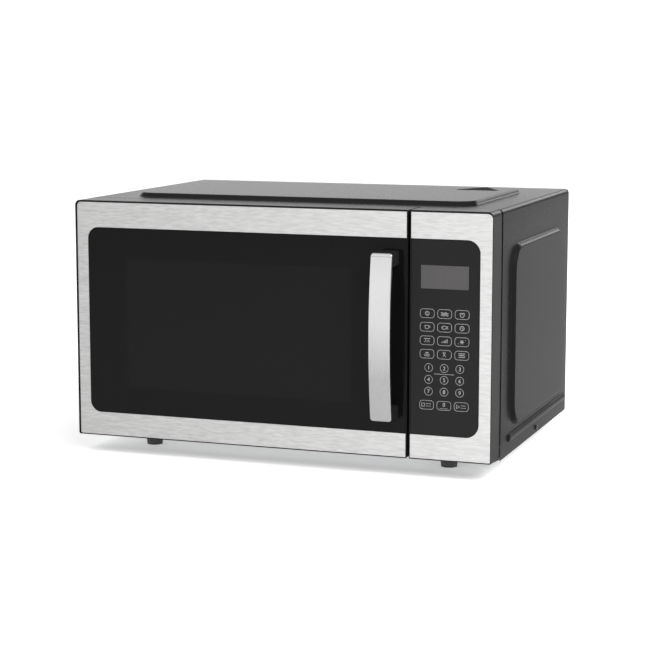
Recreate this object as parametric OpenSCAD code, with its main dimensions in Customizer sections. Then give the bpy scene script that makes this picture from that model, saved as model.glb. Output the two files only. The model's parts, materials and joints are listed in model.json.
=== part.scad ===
// Counter-top microwave oven with a grill, a side-hinged door, a bowed pull handle and a flat keypad.
// Row frame: origin on the floor under the middle of the oven, +X to the right, +Y to the back, +Z up.
// Inside oven() the Y axis starts at the front face instead, which is how every depth below is counted.

/* [Cabinet] */
// Width over the cabinet's flat side walls
cab_w = 540; // [538:1:542]
// Height of the cabinet without its feet
cab_h = 301.5; // [301:0.5:303]
// Depth from the front face to the cabinet's rear edge
body_d = 390; // [390:1:394]
// Height of the feet
foot_h = 18; // [16:1:20]
// How far the pressed panels stand out of the cover's sides
emboss_h = 5.5; // [4:0.5:6]
// How far the pressed panel stands out of the cover's top
top_rise = 5; // [4:0.5:6]
// Radius of the cover's long top edges
edge_r = 6; // [5:0.5:7]

/* [Front] */
// Depth of the control panel, which is also where the cover begins
front_t = 41; // [41:0.5:41.5]
// Height of the front face
face_h = 297.5; // [297:0.5:298]
// Width of the gap between the door and the control panel
door_gap = 3.2; // [2.8:0.1:3.4]
// Width of the control panel
control_w = 100.6; // [100.2:0.1:101]
// How far the cover's sides stand out past the control panel
cover_step = 0.8; // [0.6:0.1:0.9]
// Radius of the black glass area's outer corners
glass_r = 16; // [12:1:18]

/* [Handle] */
// Width of the handle
handle_w = 26.4; // [25.6:0.2:27]
// Length of the handle
handle_l = 200; // [198:1:202]
// Reach of the handle in front of the face, at its middle
handle_reach = 31; // [30:0.5:33]
// How far the handle bows out between its ends
handle_bow = 8.4; // [7:0.2:9]
// Thickness of the handle's grip
grip_t = 5; // [4:0.5:6]

/* [Oven cavity] */
// Inside width of the cavity
cav_w = 362; // [360:1:363]
// Inside height of the cavity
cav_h = 236; // [234:1:237]
// Inside depth of the cavity
cav_d = 335; // [332:1:336]
// Diameter of the glass tray
tray_d = 315; // [310:1:317]

/* [Keypad] */
// Width of an oblong key
key_w = 18.1; // [17:0.1:18.5]
// Height of an oblong key
key_h = 11.4; // [10:0.1:11.8]
// Radius of a round key
key_r = 5.3; // [5:0.1:5.6]

/* [Hidden] */
$fn = 64;
sheet = 0.8;
wall = 3;
face_y = -(body_d - handle_reach) / 2;
side_x = cab_w / 2;
top_z = foot_h + cab_h;
face_z = foot_h + 4;
face_top = face_z + face_h;

// The front: steel trims round a black area that runs across the door and the control panel
housing_x = side_x - cover_step;
control_x = housing_x - control_w;
door_x = control_x - door_gap;
door_back = front_t - 0.5;
trim_t = 0.8;
trim_left = -side_x + 2.8;
trim_right = housing_x - 0.8;
trim_low = face_z + 1.2;
trim_high = face_top - 2.2;
trim_back = 1.1;
glass_x = 252.7;
film_x = 254.1;
glass_low = face_z + 30;
glass_high = face_top - 33.4;
glass_y = 1.1;
glass_t = 3.4;
tuck = 2;
web_y = 6.5;
window_low = [-205, 80];
window_high = [100, 252];

// The steel pan in the back of the door, and the raised part of it that faces the cavity
pan_y = 24;
pan_back = 37;
pan_low = [-246, 36];
pan_high = [140, 306];
inner_low = [-213, 66];
inner_high = [113, 278];

// Cavity and turntable
cav_x = -231;
cav_z = 54;
cav_y = front_t + sheet;
cav_right = cav_x + cav_w;
front_plate_x = door_x + 1.7;
mid_x = cav_x + cav_w / 2;
mid_y = cav_y + cav_d / 2;
gap = 0.3;
run_gap = 0.05;
wheel_r = 8;
wheel_w = 6;
wheel_at = 104;
axle_r = 2;
axle_z = cav_z + gap + wheel_r;
tray_z = axle_z + wheel_r + gap;
ring_in = 84;
ring_out = 94;
hub_r = 9;
arm_reach = 19.5;
arm_half = 4.5;
spindle_r = 4;

// Door hinge
hinge_x = -side_x + 11.5;
hinge_y = 20;
hinge_swing = 20.4;
pin_r = 3;
pin_l = 9.5;
plate_t = 2;
plate_half = 5;
boss_r = 8.7;
upper_arm = 306;
lower_arm = 34;

// Latch
latch_x = 150;
latch_y = 24;
hooks = [112, 256];
hook_t = 6;
hook_lift = 6;
hook_end = 62;

// Cooling fan
fan_x = 200;
fan_z = 225;
blade_r = 42;
shaft_r = 2.5;

// Back of the cabinet
flange_y = body_d - 3;
flange_w = 12;
screw_r = 1.6;
screw_x = side_x - flange_w / 2 - 1;
screw_z = top_z - flange_w / 2 - 1;
screw_head = 1.8;
screws = [[-screw_x, 60], [screw_x, 100], [-screw_x, 240], [screw_x, 240], [-150, screw_z], [150, screw_z]];
side_screw = [222, foot_h + 7];
gland = [225, 50];
gland_r = 9;
cord_r = 4.2;

// Feet, counted from the middle of the oven and from the front face
foot_x = 198;
foot_ys = [72, 345];

// Keypad, its rows counted from the floor
key_t = 1.6;
key_gap = 0.2;
key_corner = 4;
pad_x = 211.2;
pitch = 21.3;
digit_pitch = 19.1;
food_z = 198;
food_step = 16.1;
digit_z = 133.3;
digit_step = 14.15;
last_z = 88.5;
display_low = [181.6, 227.2];
display_high = [240.2, 255.2];
board_y = 14;

// ---- shared shapes ----

// The oven's own frame, with Y counted from the front face
module oven() {
    translate([0, face_y, 0]) children();
}

// A box from one corner to the opposite one
module block(low, high) {
    translate(low) cube(high - low);
}

// An outline drawn in X and Z, made t thick from depth y
module plate(y, t) {
    translate([0, y + t, 0]) rotate([90, 0, 0]) linear_extrude(t) children();
}

// An outline drawn in Y and Z, made l long from x
module bar(x, l) {
    translate([x, 0, 0]) rotate([90, 0, 90]) linear_extrude(l) children();
}

// Round bars along Y and along X
module rod_y(x, z, y, l, r) {
    translate([x, y, z]) rotate([-90, 0, 0]) cylinder(h = l, r = r);
}

module rod_x(y, z, x, l, r) {
    translate([x, y, z]) rotate([0, 90, 0]) cylinder(h = l, r = r);
}

// A rectangle between two corners, with its own radius at each corner,
// in the order lower left, lower right, upper right, upper left
module pane(low, high, radii) {
    corners = [low, [high[0], low[1]], high, [low[0], high[1]]];
    inward = [[1, 1], [-1, 1], [-1, -1], [1, -1]];
    difference() {
        translate(low) square(high - low);
        for (i = [0:3]) if (radii[i] > 0) difference() {
            translate(corners[i]) square(2 * radii[i], center = true);
            translate(corners[i] + radii[i] * inward[i]) circle(radii[i]);
        }
    }
}

module round_pane(low, high, r) {
    pane(low, high, [r, r, r, r]);
}

// A hollow frame between two outlines, w wide
module rim(low, high, r, w) {
    difference() {
        round_pane(low, high, r);
        round_pane(low + [w, w], high - [w, w], max(r - w, 0.5));
    }
}

// A pressed panel on the plane z = 0: its edges lean in by run, along both axes, while it rises by h
module raised(low, high, r, h, run, skirt) {
    thin = 0.01;
    hull() {
        translate([0, 0, -skirt]) linear_extrude(skirt) round_pane(low, high, r, $fn = 32);
        translate([0, 0, h - thin]) linear_extrude(thin)
            round_pane(low + run, high - run, r - max(run) / 2, $fn = 32);
    }
}

// ---- cabinet ----

module cover_outline(inset) {
    r = edge_r - min(inset, edge_r - 1);
    pane([-side_x + inset, foot_h - inset], [side_x - inset, top_z - inset], [0, 0, r, r]);
}

// The pressed panels; the same shapes one sheet lower, and a little smaller, hollow them out
draw_in = 0.6;

module top_pressing(lower, skirt) {
    margin = draw_in * [lower, lower];
    translate([0, 0, top_z - lower])
        raised([-224.4, 69] + margin, [224.4, 328] - margin, 28 - margin[0], top_rise, [2.5, 7], skirt);
}

module side_pressing(side, lower, skirt) {
    margin = draw_in * [lower, lower];
    mirror([side < 0 ? 1 : 0, 0, 0]) translate([side_x - lower, 0, 0]) rotate([90, 0, 90])
        raised([82.5, 50] + margin, [352, 273.8] - margin, 31 - margin[0], emboss_h, [4, 4], skirt);
}

// The long half-round bead low on each side
module beads(shrink) {
    bead_r = 5.3;
    bead_rise = 3;
    bead_z = 38.6;
    bead_ys = [79.6, 377];
    for (side = [-1, 1]) {
        x = side * (side_x - bead_r + bead_rise);
        translate([x, bead_ys[0], bead_z]) rotate([-90, 0, 0])
            cylinder(h = bead_ys[1] - bead_ys[0], r = bead_r - shrink);
        for (y = bead_ys) translate([x, y, bead_z]) sphere(bead_r - shrink);
    }
}

module outer_cover() {
    behind = body_d - flange_y;
    color("dimgray") oven() difference() {
        union() {
            plate(front_t, body_d - front_t) cover_outline(0);
            top_pressing(0, sheet / 2);
            for (side = [-1, 1]) side_pressing(side, 0, sheet / 2);
            beads(0);
        }
        plate(front_t - 1, flange_y - front_t + 1) cover_outline(sheet);
        plate(flange_y - 1, behind + 2) cover_outline(flange_w);
        plate(flange_y + sheet, behind) cover_outline(sheet);
        top_pressing(sheet, sheet);
        for (side = [-1, 1]) side_pressing(side, sheet, sheet);
        beads(sheet);
        for (s = screws) rod_y(s[0], s[1], flange_y - 1, wall, screw_r + 0.4);
        rod_x(side_screw[0], side_screw[1], -side_x - 1, cab_w + 2, screw_r + 0.4);
    }
}

module base_plate() {
    edge = side_x - sheet - 0.1;
    slot_w = 3.4;
    color("silver") oven() difference() {
        union() {
            block([-edge, cav_y, foot_h], [edge, flange_y - 2, foot_h + sheet]);
            block([-edge, cav_y, foot_h], [edge, cav_y + sheet, foot_h + 14]);
            for (x = [-edge, edge - sheet]) block([x, cav_y, foot_h], [x + sheet, flange_y - 2, foot_h + 10]);
        }
        for (i = [0:9]) translate([176 + 8 * i, 80, foot_h - 1]) linear_extrude(3)
            round_pane([0, 0], [slot_w, 42], slot_w / 2 - 0.1);
        for (x = [-foot_x, foot_x], y = foot_ys) translate([x, y, foot_h - 1]) cylinder(h = 3, r = 2.2);
        rod_x(side_screw[0], side_screw[1], -side_x, cab_w, screw_r + run_gap);
    }
}

module rear_panel() {
    edge = side_x - sheet - 0.1;
    slot_w = 3.4;
    color("silver") oven() difference() {
        plate(flange_y - sheet, sheet)
            pane([-edge, foot_h + sheet], [edge, top_z - sheet - 0.1],
                [0, 0, edge_r - sheet, edge_r - sheet]);
        for (s = screws) rod_y(s[0], s[1], flange_y - 3, 5, screw_r + run_gap);
        for (i = [-5:5], z = [-38, 4]) plate(flange_y - 2, wall)
            round_pane([fan_x + 8 * i, fan_z + z], [fan_x + 8 * i + slot_w, fan_z + z + 34],
                slot_w / 2 - 0.1);
        for (i = [0:11]) plate(flange_y - 2, wall)
            round_pane([-215 + 8 * i, 96], [-215 + 8 * i + slot_w, 136], slot_w / 2 - 0.1);
        rod_y(gland[0], gland[1], flange_y - 2, wall, gland_r + run_gap);
    }
}

// A bushing for the mains lead, with a collar on the outside and two snap wings on the inside
module cord_gland() {
    color("black") oven() difference() {
        union() {
            rod_y(gland[0], gland[1], flange_y - 9, 11, gland_r);
            rod_y(gland[0], gland[1], flange_y, 2.6, gland_r + 3);
            rod_y(gland[0], gland[1], flange_y - 5, 3.8, gland_r + 1.2);
        }
        rod_y(gland[0], gland[1], flange_y - 10, 20, cord_r);
    }
}

module feet() {
    top_r = 12.5;
    low_r = 10;
    color("black") oven() for (x = [-foot_x, foot_x], y = foot_ys) translate([x, y, 0]) {
        translate([0, 0, 2]) cylinder(h = foot_h - 2, r1 = low_r, r2 = top_r);
        cylinder(h = 2, r = low_r);
    }
}

// A cross-head screw whose head sits on the plane y = 0, with its shank toward -Y
module screw() {
    difference() {
        union() {
            rod_y(0, 0, -8, 8 + screw_head / 2, screw_r);
            rod_y(0, 0, 0, screw_head, 3.3);
        }
        for (turn = [0, 90]) translate([0, screw_head, 0]) rotate([0, turn, 0])
            cube([3.8, 2.2, 0.9], center = true);
    }
}

module case_screws() {
    color("gray") oven() {
        for (s = screws) translate([s[0], flange_y + sheet, s[1]]) screw();
        for (side = [-1, 1]) translate([side * side_x, side_screw[0], side_screw[1]])
            rotate([0, 0, -90 * side]) screw();
    }
}

// ---- cavity ----

module latch_slots(y, depth, side, room) {
    top = hook_t + hook_lift + room;
    for (z = hooks) block([latch_x - side, y, z - room], [latch_x + side, y + depth, z + top]);
}

module oven_cavity() {
    guide_low = [cav_right, 150, 150];
    guide_high = [cav_right + 32, 240, 215];
    color("gainsboro") oven() difference() {
        union() {
            plate(front_t, sheet)
                round_pane([-side_x + 1.5, foot_h + 2], [front_plate_x, top_z - 1.5], edge_r - 1.5);
            block([front_plate_x - sheet, front_t, foot_h + 15], [front_plate_x, front_t + 18, top_z - 5]);
            block([cav_x - sheet, front_t, cav_z - sheet],
                [cav_right + sheet, cav_y + cav_d + sheet, cav_z + cav_h + sheet]);
            block(guide_low, guide_high);
        }
        block([cav_x, front_t - 1, cav_z], [cav_right, cav_y + cav_d, cav_z + cav_h]);
        block(guide_low + [sheet, sheet, sheet], guide_high - [sheet, sheet, sheet]);
        block([cav_right - 1, 164, 160], [cav_right + 2, 226, 205]);
        rod_x(195, 182, guide_high[0] - 2, 4, 10);
        for (z = [upper_arm, lower_arm]) block([hinge_x - plate_half - 0.2, front_t - 1, z - 0.2],
            [hinge_x + plate_half + 0.2, cav_y + 1, z + plate_t + 0.2]);
        latch_slots(front_t - 1, 3, 6, 6);
        translate([mid_x, mid_y, cav_z - 2]) cylinder(h = 4, r = hub_r + 1.5);
        for (i = [0:4], j = [0:4]) rod_x(296 + 5 * i, 205 + 5 * j, cav_right - 1, 3, 1.4);
        for (y = [heater_y - heater_bend, heater_y + heater_bend]) rod_x(y, heater_z, cav_right - 1, 3, 4);
        for (i = [0:7], j = [0:3]) rod_x(80 + 6 * i, 240 + 6 * j, cav_right - 1, 3, 1.6);
    }
}

module waveguide_cover() {
    color("tan") oven() block([cav_right - 0.8, 160, 156], [cav_right - 0.1, 230, 209]);
}

// Grill element: two straight runs under the ceiling, joined by a half turn
heater_r = 3.3;
heater_y = 205;
heater_z = 279;
heater_bend = 55;
heater_turn = -140;

module grill_heater() {
    far = cav_right + 16;
    color("darkgray") oven() {
        for (side = [-1, 1]) {
            y = heater_y + side * heater_bend;
            rod_x(y, heater_z, heater_turn, far - heater_turn, heater_r);
            rod_x(y, heater_z, cav_right + sheet, 8, 6);
        }
        translate([heater_turn, heater_y, heater_z]) intersection() {
            rotate_extrude() translate([heater_bend, 0]) circle(heater_r);
            block([-2 * heater_bend, -2 * heater_bend, -heater_r - 1], [0, 2 * heater_bend, heater_r + 1]);
        }
    }
}

module oven_lamp() {
    lamp = [306, 215];
    color("white") oven() {
        difference() {
            block([cav_right + sheet, lamp[0] - 18, lamp[1] - 18],
                [cav_right + 32, lamp[0] + 18, lamp[1] + 18]);
            block([cav_right, lamp[0] - 16, lamp[1] - 16], [cav_right + 30, lamp[0] + 16, lamp[1] + 16]);
        }
        translate([cav_right + 4, lamp[0], lamp[1]]) rotate([0, 90, 0]) rotate_extrude() polygon([
            [0, 0], [5, 1], [9, 4], [11, 9], [10, 15], [7, 21], [7, 38], [0, 38]]);
    }
}

// ---- turntable ----

module turntable_motor() {
    motor_r = 25;
    color("lightgray") oven() translate([mid_x, mid_y, 0]) difference() {
        union() {
            translate([0, 0, cav_z - 16]) cylinder(h = 14.9, r = motor_r);
            block([-36, -8, cav_z - 3], [36, 8, cav_z - 1.1]);
            block([-12, -motor_r - 6, cav_z - 15], [12, -motor_r + 4, cav_z - 4]);
        }
        translate([0, 0, cav_z - 12]) cylinder(h = 20, r = spindle_r + run_gap);
    }
}

// The spindle with the three-armed coupler that turns the tray
module turntable_coupler() {
    color("ivory") oven() translate([mid_x, mid_y, 0]) {
        translate([0, 0, cav_z - 11]) cylinder(h = 14, r = spindle_r);
        translate([0, 0, cav_z - 0.6]) cylinder(h = tray_z - cav_z + 0.2, r = hub_r);
        for (turn = [0:120:240]) rotate([0, 0, turn])
            block([0, -arm_half, tray_z - 7], [arm_reach, arm_half, tray_z - 0.4]);
    }
}

module glass_tray() {
    tray_r = tray_d / 2;
    lug_h = 4;
    color("lightcyan") oven() translate([mid_x, mid_y, tray_z]) {
        rotate_extrude($fn = 128) polygon([
            [0, 0], [tray_r - 18, 0], [tray_r - 8, 2.5], [tray_r - 1, 9], [tray_r, 12],
            [tray_r - 1.5, 13.4], [tray_r - 4, 13], [tray_r - 11, 7], [tray_r - 19, 4.6], [0, 4.6]]);
        translate([0, 0, -lug_h]) difference() {
            cylinder(h = lug_h + 1, r = arm_reach + 0.5);
            translate([0, 0, -1]) cylinder(h = lug_h + 1, r = hub_r + 2);
            for (turn = [0:120:240]) rotate([0, 0, turn])
                block([0, -arm_half - gap, -1], [arm_reach + 2, arm_half + gap, lug_h]);
        }
    }
}

// The ring that carries the three rollers between the cavity floor and the tray
module roller_ring() {
    ring_half = 2.5;
    inner_face = wheel_at - wheel_w / 2;
    outer_face = wheel_at + wheel_w / 2;
    color("white") oven() translate([mid_x, mid_y, axle_z]) {
        translate([0, 0, -ring_half]) difference() {
            cylinder(h = 2 * ring_half, r = ring_out);
            translate([0, 0, -1]) cylinder(h = 2 * ring_half + 2, r = ring_in);
        }
        for (turn = [0:120:240]) rotate([0, 0, turn]) {
            rod_x(0, 0, ring_out - 2, outer_face + 1.5 - ring_out + 2, axle_r);
            rod_x(0, 0, ring_out - 2, inner_face - gap - ring_out + 2, 2 * axle_r);
            rod_x(0, 0, outer_face + gap, 1.5, axle_r + 1.4);
        }
    }
}

module roller_wheel(turn) {
    color("white") oven() translate([mid_x, mid_y, axle_z]) rotate([0, 0, turn]) difference() {
        rod_x(0, 0, wheel_at - wheel_w / 2, wheel_w, wheel_r);
        rod_x(0, 0, wheel_at - wheel_w, 2 * wheel_w, axle_r + run_gap);
    }
}

// ---- component bay ----

// Cooling fins and a round anode inside an open yoke, with the aerial pointing into the waveguide
module magnetron() {
    flange_x = cav_right + 32.2;
    centre = [195, 182];
    yoke = [35, 31];
    depth = 40;
    color("silver") oven() {
        block([flange_x, centre[0] - 40, centre[1] - 37], [flange_x + 2, centre[0] + 40, centre[1] + 37]);
        rod_x(centre[0], centre[1], flange_x - 14, 16, 8);
        difference() {
            block([flange_x + 1, centre[0] - yoke[0], centre[1] - yoke[1]],
                [flange_x + depth, centre[0] + yoke[0], centre[1] + yoke[1]]);
            block([flange_x + 3, centre[0] - yoke[0] - 1, centre[1] - yoke[1] + 2],
                [flange_x + depth - 2, centre[0] + yoke[0] + 1, centre[1] + yoke[1] - 2]);
        }
        rod_x(centre[0], centre[1], flange_x + 2, depth - 3, 20);
        for (i = [1:6]) block([flange_x + 3 + 5 * i, centre[0] - yoke[0] + 3, centre[1] - yoke[1] + 1],
            [flange_x + 3.6 + 5 * i, centre[0] + yoke[0] - 3, centre[1] + yoke[1] - 1]);
        block([flange_x + depth - 1, centre[0] - 25, centre[1] - 22],
            [flange_x + depth + 22, centre[0] + 25, centre[1] + 22]);
    }
}

module transformer() {
    low = [176, 186, foot_h + sheet];
    high = [256, 256, foot_h + 73];
    leg = 20;
    over = 14;
    color("saddlebrown") oven() {
        difference() {
            block(low, high);
            for (x = [low[0] + 12, high[0] - 12 - 18])
                block([x, low[1] - 1, low[2] + leg], [x + 18, high[1] + 1, high[2] - leg]);
        }
        translate([0, 0, low[2] + leg + 0.5]) linear_extrude(high[2] - low[2] - 2 * leg - 1) difference() {
            round_pane([low[0] + 12.5, low[1] - over], [high[0] - 12.5, high[1] + over], over);
            translate([low[0] + 30, low[1]]) square([leg, high[1] - low[1]]);
        }
        block([low[0] - 6, low[1] + 8, low[2]], [high[0] + 6, high[1] - 8, low[2] + 3]);
    }
}

module hv_capacitor() {
    color("lightsteelblue") oven() {
        plate(292, 32) round_pane([176, foot_h + sheet], [258, foot_h + 53], 25);
        for (x = [205, 229]) block([x, 284, foot_h + 24], [x + 6, 293, foot_h + 25]);
    }
}

// Shaded-pole motor on a crossbar in front of the shroud's ring
module fan_motor() {
    ring_y = 352;
    ring_r = blade_r + 4;
    shroud = ring_r + 4;
    color("dimgray") oven() difference() {
        union() {
            difference() {
                union() {
                    rod_y(fan_x, fan_z, ring_y, 33, ring_r + 2);
                    plate(flange_y - 4, 2)
                        round_pane([fan_x - shroud, fan_z - shroud], [fan_x + shroud, fan_z + shroud], 4);
                }
                rod_y(fan_x, fan_z, ring_y - 1, 40, ring_r);
            }
            block([fan_x - ring_r - 1, ring_y - 4, fan_z - 6], [fan_x + ring_r + 1, ring_y, fan_z + 6]);
            for (x = [fan_x - ring_r - 2, fan_x + ring_r - 2])
                block([x, ring_y - 4, fan_z - 6], [x + 4, ring_y + 6, fan_z + 6]);
            block([fan_x - 22, ring_y - 24, fan_z - 24], [fan_x + 22, ring_y - 4, fan_z + 18]);
            rod_y(fan_x, fan_z, ring_y - 34, 12, 14);
        }
        rod_y(fan_x, fan_z, ring_y - 30, 40, shaft_r + run_gap);
    }
}

module fan_blade() {
    hub_y = 354;
    color("white") oven() {
        rod_y(fan_x, fan_z, hub_y, 18, 11);
        rod_y(fan_x, fan_z, hub_y - 30, 31, shaft_r);
        for (turn = [0:60:300]) translate([fan_x, hub_y + 9, fan_z]) rotate([0, turn, 0])
            rotate([38, 0, 0]) translate([9, -0.8, -9]) cube([blade_r - 10, 1.6, 18]);
    }
}

// Hook housing behind the front plate, with the three door switches on its outer side
module interlock_housing() {
    low = [143, cav_y + 0.2, 95];
    high = [158, 70, 285];
    color("whitesmoke") oven() {
        difference() {
            block(low, high);
            latch_slots(low[1] - 1, 25, 5.5, 6);
        }
        for (z = [104, 160, 250]) {
            block([high[0], 46, z], [high[0] + 6.5, 66, z + 16]);
            for (x = [1, 3, 5]) block([high[0] + x, 65, z + 4], [high[0] + x + 0.8, 73, z + 10]);
        }
    }
}

module control_board() {
    low = [176, 62];
    high = [262, 268];
    color("darkgreen") oven() {
        plate(board_y, 1.6) round_pane(low, high, 2);
        plate(1.6, board_y - 1) round_pane(display_low + [0.2, 0.2], display_high - [0.2, 0.2], 0.6);
        block([182, board_y + 1, 74], [222, board_y + 24, 112]);
        for (i = [0:2]) block([182 + 22 * i, board_y + 1, 130], [200 + 22 * i, board_y + 17, 158]);
        rod_y(240, 92, board_y + 1, 20, 9);
    }
}

// ---- front ----

// The housing's underside drops by under from the front to the back
module control_housing() {
    under = 3;
    color("black") oven() difference() {
        union() {
            plate(0, front_t) pane([control_x, face_z], [housing_x, face_top], [1, 1, 6.5, 1]);
            bar(control_x + 1, control_w - 2) polygon([
                [1, face_z], [front_t, face_z - under], [front_t, face_z + 1], [1, face_z + 1]]);
        }
        block([control_x + wall, web_y, face_z + wall], [housing_x - wall, front_t + 1, face_top - wall]);
        plate(-1, 1 + trim_t) control_steel();
        plate(-1, 1 + glass_y + glass_t - 1.5) overlay_outline(0);
        plate(-1, 1 + glass_y + glass_t - 0.4) overlay_outline(tuck + 2);
        plate(-1, 20) round_pane(display_low - [1, 1], display_high + [1, 1], 1.5);
    }
}

module control_steel() {
    pane([control_x + trim_back, trim_low], [trim_right, trim_high], [0, 1.5, 5, 0]);
}

module overlay_outline(inset) {
    r = glass_r + tuck - inset;
    pane([control_x + 1 + inset, glass_low - tuck + inset],
        [film_x + tuck - inset, glass_high + tuck - inset],
        [0, r, r, 0]);
}

module control_trim() {
    color("lightgray") oven() plate(0, trim_t) difference() {
        control_steel();
        pane([control_x - 1, glass_low], [film_x, glass_high], [0, glass_r, glass_r, 0]);
    }
}

module oblong(x, z, grow) {
    round_pane([x - key_w / 2 - grow, z - key_h / 2 - grow], [x + key_w / 2 + grow, z + key_h / 2 + grow],
        key_corner + grow);
}

// Key outlines: column and row count from the left and from the top
module food_outline(i, grow) {
    oblong(pad_x + pitch * (i % 3 - 1), food_z - food_step * floor(i / 3), grow);
}

module digit_outline(i, grow) {
    translate([pad_x + digit_pitch * (i % 3 - 1), digit_z - digit_step * floor(i / 3)]) circle(key_r + grow);
}

module last_outline(i, grow) {
    oblong(pad_x + pitch * (i - 1), last_z, grow);
}

module keypad_panel() {
    color("black") oven() plate(glass_y, glass_t - 1.5) difference() {
        overlay_outline(0.1);
        for (i = [0:11]) food_outline(i, key_gap);
        for (i = [0:8]) digit_outline(i, key_gap);
        for (i = [0:2]) last_outline(i, key_gap);
        round_pane(display_low, display_high, 0.8);
    }
}

module key_cap() {
    color("dimgray") oven() plate(glass_y, key_t) children();
}

// ---- door ----

module door_frame() {
    low = [-side_x, face_z];
    high = [door_x, face_top];
    boss_low = low[1] + 1;
    boss_high = high[1] - 1;
    color("black") oven() difference() {
        union() {
            difference() {
                plate(0, door_back) pane(low, high, [2.5, 1, 1, 6.5]);
                block([low[0] + wall, web_y, low[1] + wall], [high[0] - wall, door_back + 1, high[1] - wall]);
            }
            translate([hinge_x, hinge_y, upper_arm + plate_t + 0.5])
                cylinder(h = boss_high - upper_arm - plate_t - 0.5, r = boss_r);
            translate([hinge_x, hinge_y, boss_low]) cylinder(h = lower_arm - boss_low - 0.5, r = boss_r);
        }
        plate(-1, 1 + trim_t) door_steel();
        plate(-1, 1 + glass_y + glass_t + 0.1) door_pane(tuck);
        plate(-1, 20) round_pane(window_low, window_high, 8);
        translate([hinge_x, hinge_y, upper_arm]) cylinder(h = pin_l + plate_t + 0.5, r = pin_r + run_gap);
        translate([hinge_x, hinge_y, lower_arm - pin_l - 0.5]) cylinder(h = pin_l + 2, r = pin_r + run_gap);
        difference() {
            block([low[0] - 1, hinge_y, low[1] - 1], [hinge_x, front_t, high[1] + 1]);
            translate([hinge_x, hinge_y, 0]) cylinder(h = high[1] + 2, r = hinge_swing);
        }
        for (z = [upper_arm, lower_arm]) block([low[0] - 1, hinge_y - 10.5, z - 0.5],
            [low[0] + wall + 1, front_t, z + plate_t + 0.5]);
    }
}

module door_steel() {
    pane([trim_left, trim_low], [door_x - trim_back, trim_high], [2, 0, 0, 5]);
}

module door_pane(grow) {
    r = glass_r - 2 + grow;
    pane([-glass_x - grow, glass_low - grow], [door_x - 0.7, glass_high + grow], [r, 0, 0, r]);
}

module door_trim() {
    color("lightgray") oven() plate(0, trim_t) difference() {
        door_steel();
        pane([-glass_x, glass_low], [door_x + 1, glass_high], [glass_r - 2, 0, 0, glass_r - 2]);
    }
}

module door_glass() {
    color([0.1, 0.1, 0.11]) oven() plate(glass_y, glass_t) door_pane(tuck - 0.1);
}

// The pan is folded round a channel that is open to the back and runs all round the inner part
module door_pan() {
    color("silver") oven() {
        plate(pan_y, sheet) rim(pan_low, pan_high, 5, inner_low[0] - pan_low[0] + 3);
        plate(pan_y, pan_back + 2 - pan_y) rim(pan_low, pan_high, 5, sheet);
        plate(pan_y, pan_back - pan_y) rim(inner_low, inner_high, 8, sheet);
        plate(pan_back - sheet, sheet) round_pane(inner_low, inner_high, 8);
    }
}

module choke_cover() {
    color("black") oven() difference() {
        union() {
            plate(pan_back + 2.2, 1.2) round_pane([-249, face_z + 8], [door_x - 8.3, face_top - 8], 4);
            plate(pan_back - 1, 4) rim(pan_low + [2, 2], pan_high - [2, 2], 4, 1.5);
        }
        plate(pan_back - 2, 10) round_pane(inner_low - [0.3, 0.3], inner_high + [0.3, 0.3], 8);
        latch_slots(pan_y, 20, 3.5, 6);
    }
}

// The grip's front and back are arcs about one axis, so it bows out between its ends
grip_x = 140.5;
grip_mid = face_z + 147.35;
grip_arc = (handle_l * handle_l / 4 + handle_bow * handle_bow) / (2 * handle_bow);

module grip_disc(r) {
    translate([grip_arc - handle_reach, grip_mid]) circle(r, $fn = 720);
}

module handle_grip() {
    color("silver") oven() bar(grip_x - handle_w / 2, handle_w) intersection() {
        difference() {
            grip_disc(grip_arc);
            grip_disc(grip_arc - grip_t);
        }
        translate([-handle_reach - 1, grip_mid - handle_l / 2]) square([handle_reach, handle_l]);
    }
}

module handle_posts() {
    post = [24.4, 18];
    post_x = grip_x + handle_w / 2 + 0.8 - post[0];
    color("black") oven() difference() {
        for (z = [face_z + 46, face_z + 231]) plate(-handle_reach, handle_reach + glass_y)
            round_pane([post_x, z], [post_x + post[0], z + post[1]], 3);
        bar(post_x - 1, post[0] + 2) difference() {
            translate([-2 * handle_reach, 0]) square([2 * handle_reach, face_top]);
            grip_disc(grip_arc - grip_t);
        }
    }
}

// A sliding bar with two hooks that reach through the front plate
module door_latch() {
    hook_half = 1.5;
    barb = 4;
    color("white") oven() {
        block([latch_x - 3, latch_y, hooks[0] - 12], [latch_x + 3, latch_y + 3, hooks[1] + 16]);
        for (z = hooks) {
            block([latch_x - hook_half, latch_y, z], [latch_x + hook_half, hook_end, z + hook_t]);
            bar(latch_x - hook_half, 2 * hook_half)
                polygon([[hook_end - 6, z + 1], [hook_end - 6, z - barb],
                    [hook_end - 4, z - barb], [hook_end, z + 1]]);
        }
    }
}

// Two arms through the front plate, each with a pin; the upper pin points up and the lower one down
module hinge_brackets() {
    flange_t = 1.5;
    flange_l = 22;
    color("gray") oven() for (up = [1, -1]) {
        z = up > 0 ? upper_arm : lower_arm;
        block([hinge_x - plate_half, hinge_y, z], [hinge_x + plate_half, cav_y + flange_t, z + plate_t]);
        translate([hinge_x, hinge_y, z]) cylinder(h = plate_t, r = plate_half + 1);
        translate([hinge_x, hinge_y, up > 0 ? z : z - pin_l]) cylinder(h = pin_l + plate_t, r = pin_r);
        foot = up > 0 ? z - flange_l + plate_t : z;
        block([hinge_x - plate_half - 2, cav_y, foot],
            [hinge_x + plate_half + 2, cav_y + flange_t, foot + flange_l]);
    }
}

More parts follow.
